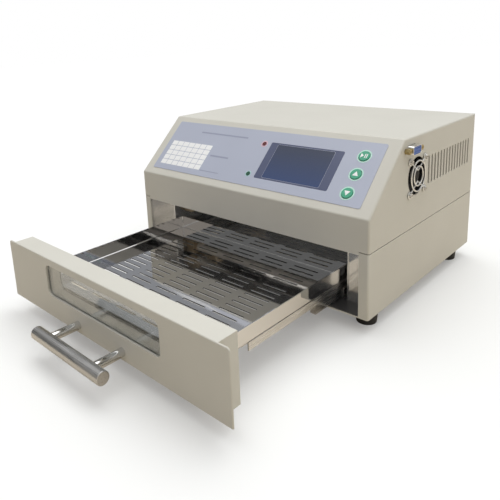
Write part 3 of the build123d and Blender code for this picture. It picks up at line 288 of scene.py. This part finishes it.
CREAM = (0.625, 0.608, 0.555)
CREAM_SHADE = (0.600, 0.583, 0.530)
M = {
    "cream": powder_coat("cream_powder_coat", CREAM, CREAM_SHADE),
    # The chamber floor's near-black colour is painted shade: it stands in for the shade inside the chamber's
    # recess.
    "painted_shade_floor": powder_coat("dark_painted_shade_floor", (0.055, 0.055, 0.058), (0.04, 0.04, 0.042), 0.38),
    "zinc": galvanised("bright_zinc_sheet", (0.66, 0.665, 0.67)),
    "liner": polished_metal("polished_liner_sheet", (0.80, 0.80, 0.80), 0.14, 0.10, 0.0006, 0.85),
    "reflector": polished_metal("mirror_reflector", (0.84, 0.84, 0.84), 0.08, 0.06, 0.0, 0.9),
    "tray": slotted_sheet("mirror_stainless", (0.63, 0.63, 0.635)),
    "screw": polished_metal("nickel_screw", (0.60, 0.59, 0.57), 0.32, 0.12),
    "wire": polished_metal("plated_wire", (0.70, 0.70, 0.69), 0.30, 0.12),
    "bar": brushed_metal("satin_stainless_bar", (0.50, 0.495, 0.49), (0.04, 1, 1), 0.30, 0.08, 0.5),
    "post": polished_metal("polished_post", (0.74, 0.74, 0.74), 0.07, 0.05),
    "slide": brushed_metal("zinc_slide", (0.66, 0.66, 0.66), (1, 0.04, 1), 0.26, 0.06, 0.3),
    "probe": brushed_metal("probe_sheath", (0.58, 0.57, 0.55), (1, 1, 0.05), 0.3, 0.06, 0.2),
    "brass": polished_metal("brass_nut", (0.42, 0.33, 0.16), 0.30, 0.10),
    "tin": polished_metal("tinned_shell", (0.78, 0.78, 0.76), 0.2, 0.1),
    "aluminium": brushed_metal("extruded_aluminium", (0.72, 0.72, 0.73), (1, 1, 0.05), 0.35, 0.06, 0.1),
    "rubber": moulded("black_rubber", (0.012, 0.012, 0.013), 0.62, 700.0, 0.00006),
    "black": moulded("black_glass_filled_plastic", (0.010, 0.010, 0.011), 0.5),
    "inlet": moulded("black_thermoplastic", (0.014, 0.014, 0.015), 0.4),
    "blue": moulded("blue_connector_plastic", (0.045, 0.115, 0.40), 0.4),
    "ceramic": moulded("tan_ceramic", (0.62, 0.49, 0.33), 0.75, 500.0, 0.00008),
    "core": moulded("laminated_core", (0.035, 0.033, 0.032), 0.55, 1600.0, 0.00006),
    "board": moulded("green_board", (0.010, 0.085, 0.035), 0.35, 300.0, 0.00003),
    "bezel": moulded("display_bezel", (0.012, 0.012, 0.014), 0.4),
    "key": moulded("green_key", (0.045, 0.33, 0.20), 0.33, 600.0, 0.00002),
    "lamp_red": moulded("red_lamp", (0.10, 0.008, 0.012), 0.15, 300.0, 0.00001),
    "lamp_green": moulded("green_lamp", (0.008, 0.075, 0.040), 0.15, 300.0, 0.00001),
    "film": printed_film("lavender_film", (0.420, 0.450, 0.560)),
    "white_print": printed_film("white_print", (0.86, 0.865, 0.88), 0.40),
    "faint_print": printed_film("faint_grey_print", (0.30, 0.32, 0.43), 0.40),
    "band": printed_film("display_side_band", (0.070, 0.085, 0.165), 0.22),
    # The pink and mint lamp colours below are painted light: halos round the lamps, not print.
    "pink_painted_halo": printed_film("pink_painted_halo", (0.66, 0.46, 0.54), 0.40),
    "outline_print": printed_film("picture_outline_print", (0.27, 0.29, 0.38), 0.40),
    "key_ring_print": printed_film("key_ring_print", (0.52, 0.80, 0.70), 0.40),
    "mint_painted_halo": printed_film("mint_painted_halo", (0.40, 0.60, 0.62), 0.40),
    "wool": moulded("ceramic_fibre", (0.74, 0.72, 0.66), 0.95, 160.0, 0.0006),
    "quartz": moulded("frosted_quartz", (0.80, 0.76, 0.70), 0.3, 200.0, 0.00002),
    "screen": display_screen("display_screen"),
    "glass": window_glass("window_glass"),
}

NODE_LOOKS = {
    "cream": ["top_cover", "base_pan", "rear_panel", "drawer_front"],
    "painted_shade_floor": ["chamber_floor"],
    "zinc": ["inner_deck"],
    "liner": ["chamber_liner", "chamber_frame", "chamber_base_plate"],
    "reflector": ["reflector"],
    "tray": ["slotted_tray"],
    "screw": ["cover_screws", "fan_screws", "foot_screws", "handle_screws", "tray_screws"],
    "wire": ["side_fan_guard", "rear_fan_guard"],
    "bar": ["handle_bar"],
    "post": ["handle_posts"],
    "slide": ["slide_rails", "slide_channels", "slide_middle_left", "slide_middle_right"],
    "probe": ["thermocouples"],
    "brass": ["serial_nuts"],
    "tin": ["serial_shell"],
    "aluminium": ["heat_sink"],
    "rubber": ["foot_front_left", "foot_front_right", "foot_rear_left", "foot_rear_right"],
    "black": ["side_fan_frame", "side_fan_rotor", "rear_fan_frame", "rear_fan_rotor"],
    "inlet": ["power_inlet", "switch_housing", "switch_rocker", "fuse_holder"],
    "blue": ["serial_insert"],
    "ceramic": ["ceramic_blocks"],
    "core": ["transformer"],
    "board": ["power_board", "control_board"],
    "bezel": ["lcd_module"],
    "band": ["lcd_lens"],
    "key": ["button_start", "button_up", "button_down"],
    "lamp_red": ["led_red"],
    "lamp_green": ["led_green"],
    "film": ["control_panel"],
    "wool": ["insulation_pad"],
    "quartz": ["heater_tube_1", "heater_tube_2", "heater_tube_3", "heater_tube_4"],
    "glass": ["window_glass_outer", "window_glass_inner"],
}
for look, names in NODE_LOOKS.items():
    for name in names:
        NODES[name].data.materials.clear()
        NODES[name].data.materials.append(M[look])

# Folded and moulded edges catch the light: each of these nodes gets small rounded edges.
# Its flat faces are merged first, because thin triangles would streak the shading.
WELD_DISTANCE = 2e-6
FLAT_ANGLE, EDGE_ANGLE = math.radians(0.5), math.radians(50)
EDGE_SIZES = {
    0.35 * MM: ["drawer_front", "power_inlet", "switch_housing", "lcd_module"],
    0.25 * MM: ["top_cover", "base_pan", "slotted_tray", "chamber_frame", "rear_panel"],
    0.5 * MM: ["window_glass_outer", "window_glass_inner"],
    0.15 * MM: ["slide_rails", "slide_channels", "serial_shell", "serial_insert", "serial_nuts"],
}
for size, names in EDGE_SIZES.items():
    for name in names:
        node = NODES[name]
        weld = node.modifiers.new("weld", "WELD")
        weld.merge_threshold = WELD_DISTANCE
        merge_flats = node.modifiers.new("merge_flats", "DECIMATE")
        merge_flats.decimate_type = "DISSOLVE"
        merge_flats.angle_limit = FLAT_ANGLE
        round_edges = node.modifiers.new("round_edges", "BEVEL")
        round_edges.width = size
        round_edges.segments = 2
        round_edges.limit_method = "ANGLE"
        round_edges.angle_limit = EDGE_ANGLE
        round_edges.use_clamp_overlap = True
        round_edges.harden_normals = True


# ---------------------------------------------------------------- printed marks on the control face
def slope_point(x, s, lift):
    """A point on the control face: x across, s up the slope, lift out of the sheet, in millimetres."""
    return SLOPE_LOW + Vector((x * MM, 0, 0)) + SLOPE_ALONG * (s * MM) + SLOPE_OUT * (lift * MM)


def finish_piece(mesh, name, look, body):
    """Closes a bmesh into an object with a material, riding on a body."""
    bmesh.ops.recalc_face_normals(mesh, faces=mesh.faces)
    data = bpy.data.meshes.new(name)
    mesh.to_mesh(data)
    mesh.free()
    piece = bpy.data.objects.new(name, data)
    scene.collection.objects.link(piece)
    data.materials.append(M[look])
    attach(piece, body)


def add_prism(mesh, outline, low, high):
    """Adds a flat closed prism to a mesh. The outline is on the control face, in millimetres."""
    bottom = [mesh.verts.new(slope_point(x, s, low)) for x, s in outline]
    top = [mesh.verts.new(slope_point(x, s, high)) for x, s in outline]
    mesh.faces.new(top)
    mesh.faces.new(list(reversed(bottom)))
    count = len(outline)
    for i in range(count):
        j = (i + 1) % count
        mesh.faces.new((bottom[i], bottom[j], top[j], top[i]))


def add_ring(mesh, x, s, inner, outer, low, high, steps=64):
    """Adds a flat closed ring to a mesh."""
    loops = []
    for radius, lift in ((inner, low), (outer, low), (outer, high), (inner, high)):
        loop = []
        for k in range(steps):
            angle = 2 * math.pi * k / steps
            point = slope_point(x + radius * math.cos(angle), s + radius * math.sin(angle), lift)
            loop.append(mesh.verts.new(point))
        loops.append(loop)
    for a in range(4):
        first, second = loops[a], loops[(a + 1) % 4]
        for k in range(steps):
            n = (k + 1) % steps
            mesh.faces.new((first[k], first[n], second[n], second[k]))


def rounded_box(x0, s0, x1, s1, radius, steps=6):
    """The outline of a rectangle with rounded corners."""
    outline = []
    corners = ((x1 - radius, s1 - radius, 0), (x0 + radius, s1 - radius, 90),
               (x0 + radius, s0 + radius, 180), (x1 - radius, s0 + radius, 270))
    for cx, cs, start in corners:
        for k in range(steps + 1):
            angle = math.radians(start + 90 * k / steps)
            outline.append((cx + radius * math.cos(angle), cs + radius * math.sin(angle)))
    return outline


# Places on the control face, in millimetres, as slope_point takes them.
FILM_TOP = 0.4
PRINT_TOP = 0.45
KEY_X, KEY_TOP = 123.7, 1.3
DOWN_S, UP_S, START_S = 22.0, 43.0, 63.7
KEY_RING_INNER, KEY_RING_OUTER = 6.0, 7.2
LAMP_X, RED_LAMP_S, GREEN_LAMP_S = 4.2, 62.8, 23.3
LAMP_RING_INNER, RED_RING_OUTER, GREEN_RING_OUTER = 2.7, 4.2, 3.8
LAMP_RING_STEPS = 40

mesh = bmesh.new()
for key_s in (DOWN_S, UP_S, START_S):
    add_ring(mesh, KEY_X, key_s, KEY_RING_INNER, KEY_RING_OUTER, FILM_TOP, PRINT_TOP)
finish_piece(mesh, "key_rings", "key_ring_print", "cabinet")

# The pale pink and mint rings round the two lamps are painted light: the lamps' halos, drawn onto the film.
mesh = bmesh.new()
red_ring = (LAMP_RING_INNER, RED_RING_OUTER)
add_ring(mesh, LAMP_X, RED_LAMP_S, *red_ring, FILM_TOP, PRINT_TOP, LAMP_RING_STEPS)
finish_piece(mesh, "red_lamp_ring", "pink_painted_halo", "cabinet")
mesh = bmesh.new()
green_ring = (LAMP_RING_INNER, GREEN_RING_OUTER)
add_ring(mesh, LAMP_X, GREEN_LAMP_S, *green_ring, FILM_TOP, PRINT_TOP, LAMP_RING_STEPS)
finish_piece(mesh, "green_lamp_ring", "mint_painted_halo", "cabinet")

# Key symbols: plain up and down triangles, and a triangle with two bars for start.
SYMBOL_TOP = KEY_TOP + 0.04
POINT, FOOT = 3.0, 2.1
ARROW_LEFT, ARROW_TIP, ARROW_HALF_HEIGHT = 3.4, 0.3, 2.5
BAR_LEFTS, BAR_WIDTH, BAR_HALF_HEIGHT, BAR_ROUNDING = (0.7, 2.4), 0.9, 2.4, 0.25
mesh = bmesh.new()
outline = [(KEY_X - POINT, UP_S - FOOT), (KEY_X + POINT, UP_S - FOOT), (KEY_X, UP_S + POINT)]
add_prism(mesh, outline, KEY_TOP, SYMBOL_TOP)
finish_piece(mesh, "up_symbol", "white_print", "key_up")
mesh = bmesh.new()
outline = [(KEY_X - POINT, DOWN_S + FOOT), (KEY_X, DOWN_S - POINT), (KEY_X + POINT, DOWN_S + FOOT)]
add_prism(mesh, outline, KEY_TOP, SYMBOL_TOP)
finish_piece(mesh, "down_symbol", "white_print", "key_down")
mesh = bmesh.new()
arrow_x, arrow_low, arrow_high = KEY_X - ARROW_LEFT, START_S - ARROW_HALF_HEIGHT, START_S + ARROW_HALF_HEIGHT
outline = [(arrow_x, arrow_low), (KEY_X - ARROW_TIP, START_S), (arrow_x, arrow_high)]
add_prism(mesh, outline, KEY_TOP, SYMBOL_TOP)
bar_low, bar_high = START_S - BAR_HALF_HEIGHT, START_S + BAR_HALF_HEIGHT
for bar_left in BAR_LEFTS:
    bar_x = KEY_X + bar_left
    outline = rounded_box(bar_x, bar_low, bar_x + BAR_WIDTH, bar_high, BAR_ROUNDING)
    add_prism(mesh, outline, KEY_TOP, SYMBOL_TOP)
finish_piece(mesh, "start_symbol", "white_print", "key_start")

# The blank white table, 7 by 5 cells.
TABLE_LEFT, TABLE_LOW, TABLE_RIGHT, TABLE_HIGH = -134.5, 16.0, -66.0, 51.0
COLUMNS, ROWS, LINE = 7, 5, 0.7
mesh = bmesh.new()
cell_width = (TABLE_RIGHT - TABLE_LEFT) / COLUMNS
cell_height = (TABLE_HIGH - TABLE_LOW) / ROWS
for column in range(COLUMNS):
    for row in range(ROWS):
        x = TABLE_LEFT + column * cell_width
        s = TABLE_LOW + row * cell_height
        right_x, high_s = x + cell_width - LINE / 2, s + cell_height - LINE / 2
        outline = rounded_box(x + LINE / 2, s + LINE / 2, right_x, high_s, 0.3, 2)
        add_prism(mesh, outline, FILM_TOP, PRINT_TOP)
finish_piece(mesh, "blank_table", "white_print", "cabinet")

# Plain bars stand where the real film has words. Each is left, low, right, high.
PLAIN_BARS = ((-96, 66.5, -22, 68.5), (-62, 36.5, -34, 38.6), (-66, 16.0, -36, 17.0))
mesh = bmesh.new()
for x0, s0, x1, s1 in PLAIN_BARS:
    add_prism(mesh, rounded_box(x0, s0, x1, s1, 0.4, 3), FILM_TOP, PRINT_TOP)
finish_piece(mesh, "plain_bars", "faint_print", "cabinet")

# The display's picture area, between the two plain bands of its cover, with a thin pale line round it.
PICTURE_LEFT, PICTURE_RIGHT, PICTURE_LOW, PICTURE_HIGH = 23.0, 92.6, 22.0, 64.0
OUTLINE = 0.4
mesh = bmesh.new()
low_left = (PICTURE_LEFT - OUTLINE, PICTURE_LOW - OUTLINE)
high_right = (PICTURE_RIGHT + OUTLINE, PICTURE_HIGH + OUTLINE)
frame_box = rounded_box(*low_left, *high_right, 1.9)
add_prism(mesh, frame_box, FILM_TOP, PRINT_TOP - 0.02)
finish_piece(mesh, "picture_outline", "outline_print", "cabinet")
mesh = bmesh.new()
add_prism(mesh, rounded_box(PICTURE_LEFT, PICTURE_LOW, PICTURE_RIGHT, PICTURE_HIGH, 1.5), FILM_TOP, PRINT_TOP)
finish_piece(mesh, "display_picture", "screen", "cabinet")

# ---------------------------------------------------------------- room
def emitter(name, location, target, size, power):
    """A soft white area light aimed at a point."""
    data = bpy.data.lights.new(name, "AREA")
    data.shape = "RECTANGLE"
    data.size, data.size_y = size
    data.energy = power
    lamp = bpy.data.objects.new(name, data)
    lamp.location = location
    lamp.rotation_mode = "QUATERNION"
    lamp.rotation_quaternion = (Vector(target) - Vector(location)).to_track_quat("-Z", "Y")
    scene.collection.objects.link(lamp)
    return lamp


FLOOR_REACH = 6.0
FADE_START, FADE_END = 0.30, 0.80
floor_mesh = bmesh.new()
signs = ((-1, -1), (1, -1), (1, 1), (-1, 1))
floor_mesh.faces.new([floor_mesh.verts.new((sx * FLOOR_REACH, sy * FLOOR_REACH, 0)) for sx, sy in signs])
floor_data = bpy.data.meshes.new("studio_floor")
floor_mesh.to_mesh(floor_data)
floor_mesh.free()
floor = bpy.data.objects.new("studio_floor", floor_data)
scene.collection.objects.link(floor)
# The floor as it is seen directly, as it lights matt surfaces, and as metal and glass mirror it.
FLOOR_PALE, FLOOR_BOUNCE, FLOOR_MIRRORED = (0.87, 0.87, 0.87), (0.55, 0.50, 0.41), (0.80, 0.71, 0.59)
floor_material, nodes, links, shader = new_material("studio_floor_white")
shader.inputs["Roughness"].default_value = 0.9
shader.inputs["Specular IOR Level"].default_value = 0.1
floor_path = nodes.new("ShaderNodeLightPath")
seen = floor_path.outputs["Is Camera Ray"]
unseen = blend_colours(nodes, links, floor_path.outputs["Is Diffuse Ray"], FLOOR_MIRRORED, FLOOR_BOUNCE)
# Far from the model the floor fades into the white room, so no horizon shows.
coordinates = nodes.new("ShaderNodeTexCoord")
length = nodes.new("ShaderNodeVectorMath")
length.operation = "LENGTH"
links.new(coordinates.outputs["Object"], length.inputs[0])
far = spread(nodes, links, length.outputs["Value"], 0.20, 1.0, FADE_START, FADE_END)
faded = blend_colours(nodes, links, far, FLOOR_PALE, (0.0, 0.0, 0.0))
links.new(blend_colours(nodes, links, seen, unseen, faded), shader.inputs["Base Color"])
glow = nodes.new("ShaderNodeMath")
glow.operation = "MULTIPLY"
links.new(far, glow.inputs[0])
links.new(seen, glow.inputs[1])
shader.inputs["Emission Color"].default_value = (1, 1, 1, 1)
links.new(glow.outputs[0], shader.inputs["Emission Strength"])
floor_data.materials.append(floor_material)

# A white room: bright above and behind, warmer on the right, darker where the viewer stands.
SKY_ABOVE_FRONT, SKY_ABOVE_BACK = (1.22, 1.23, 1.20), (2.10, 2.13, 2.07)
SKY_BEHIND = (0.34, 0.35, 0.37)
# What bright metal mirrors: a softer ceiling and a neutral grey room behind the viewer.
MIRRORED_ABOVE, MIRRORED_FRONT = (1.10, 1.10, 1.08), (0.23, 0.23, 0.225)
SKY_RIGHT, SKY_FRONT = (0.74, 0.67, 0.58), (0.115, 0.12, 0.155)
world = bpy.data.worlds.new("studio")
scene.world = world
world.use_nodes = True
nodes, links = world.node_tree.nodes, world.node_tree.links
coordinates = nodes.new("ShaderNodeTexCoord")
parts = nodes.new("ShaderNodeSeparateXYZ")
links.new(coordinates.outputs["Generated"], parts.inputs["Vector"])
to_right = spread(nodes, links, parts.outputs["X"], 0.0, 1.0, 0.1, 0.8)
to_back = spread(nodes, links, parts.outputs["Y"], 0.0, 1.0, -0.25, 0.35)
to_top = spread(nodes, links, parts.outputs["Z"], 0.0, 1.0, 0.48, 0.88)
light_path = nodes.new("ShaderNodeLightPath")
mirrored = light_path.outputs["Is Glossy Ray"]
front = blend_colours(nodes, links, mirrored, SKY_FRONT, MIRRORED_FRONT)
room = blend_colours(nodes, links, to_right, front, SKY_RIGHT)
room = blend_colours(nodes, links, to_back, room, SKY_BEHIND)
above = blend_colours(nodes, links, to_back, SKY_ABOVE_FRONT, SKY_ABOVE_BACK)
above = blend_colours(nodes, links, mirrored, above, MIRRORED_ABOVE)
room = blend_colours(nodes, links, to_top, room, above)
seen = light_path.outputs["Is Camera Ray"]
links.new(blend_colours(nodes, links, seen, room, (1.0, 1.0, 1.0)), nodes["Background"].inputs["Color"])

emitter("top_softbox", (-0.15, 0.30, 1.5), (0, -0.05, 0.05), (1.6, 1.2), 7)
# Stands for the room light that reaches the chamber's mouth. It isn't seen itself.
chamber_fill = emitter("chamber_fill", (0, -0.060, 0.068), (0, 0.10, 0.060), (0.18, 0.030), 0.035)
chamber_fill.visible_camera = False
chamber_fill.visible_glossy = False

# ---------------------------------------------------------------- camera
CAMERA = Vector((0.37015, -0.51634, 0.27069))
AZIMUTH, TILT, ROLL = 0.7789, 0.2311, -0.0493
camera_data = bpy.data.cameras.new("camera")
camera_data.sensor_width = 36.0
camera_data.lens = 38.757
camera_data.shift_x = 0.0626
camera_data.shift_y = -0.1769
camera_data.clip_start = 0.01
camera_data.clip_end = 50
camera = bpy.data.objects.new("camera", camera_data)
forward = Vector((-math.sin(AZIMUTH) * math.cos(TILT), math.cos(AZIMUTH) * math.cos(TILT), -math.sin(TILT)))
right = forward.cross(Vector((0, 0, 1))).normalized()
up = right.cross(forward)
rolled_right = right * math.cos(ROLL) + up * math.sin(ROLL)
rolled_up = up * math.cos(ROLL) - right * math.sin(ROLL)
turn = Matrix((rolled_right, rolled_up, -forward)).transposed().to_4x4()
camera.matrix_world = Matrix.Translation(CAMERA) @ turn
scene.collection.objects.link(camera)
scene.camera = camera
scene.view_settings.view_transform = "Standard"
